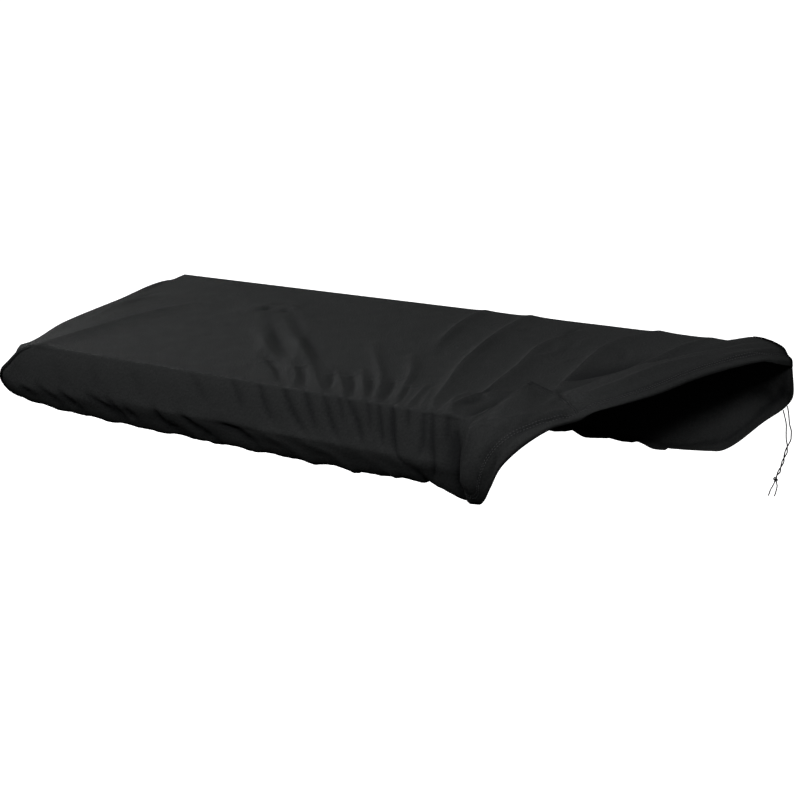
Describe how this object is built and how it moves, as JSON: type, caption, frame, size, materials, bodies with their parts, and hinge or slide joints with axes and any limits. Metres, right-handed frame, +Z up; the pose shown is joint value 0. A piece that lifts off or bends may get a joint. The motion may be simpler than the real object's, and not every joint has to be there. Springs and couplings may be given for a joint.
{
  "type": "keyboard dust cover",
  "caption": "Fitted stretch-cloth dust cover for a long keyboard, hollow, hem drawn in underneath by a cord, right end pulled up onto the top in a soft band",
  "frame": {"origin": "the held point just under the top panel's cloth, at mid-length and mid-depth", "axes": "+X along the cover's length towards the pulled-up end, +Y from its front to its back, +Z up"},
  "size_m": [1.204, 0.5008, 0.2466],
  "materials": {
    "stretch_cloth": "matte knitted stretch cloth with a soft sheen",
    "cord": "round woven drawcord"
  },
  "bodies": {
    "root": {"cover": "stretch_cloth", "strand_a": "cord", "strand_b": "cord", "knot": "cord", "tail_a": "cord", "tail_b": "cord"}
  },
  "joints": []
}
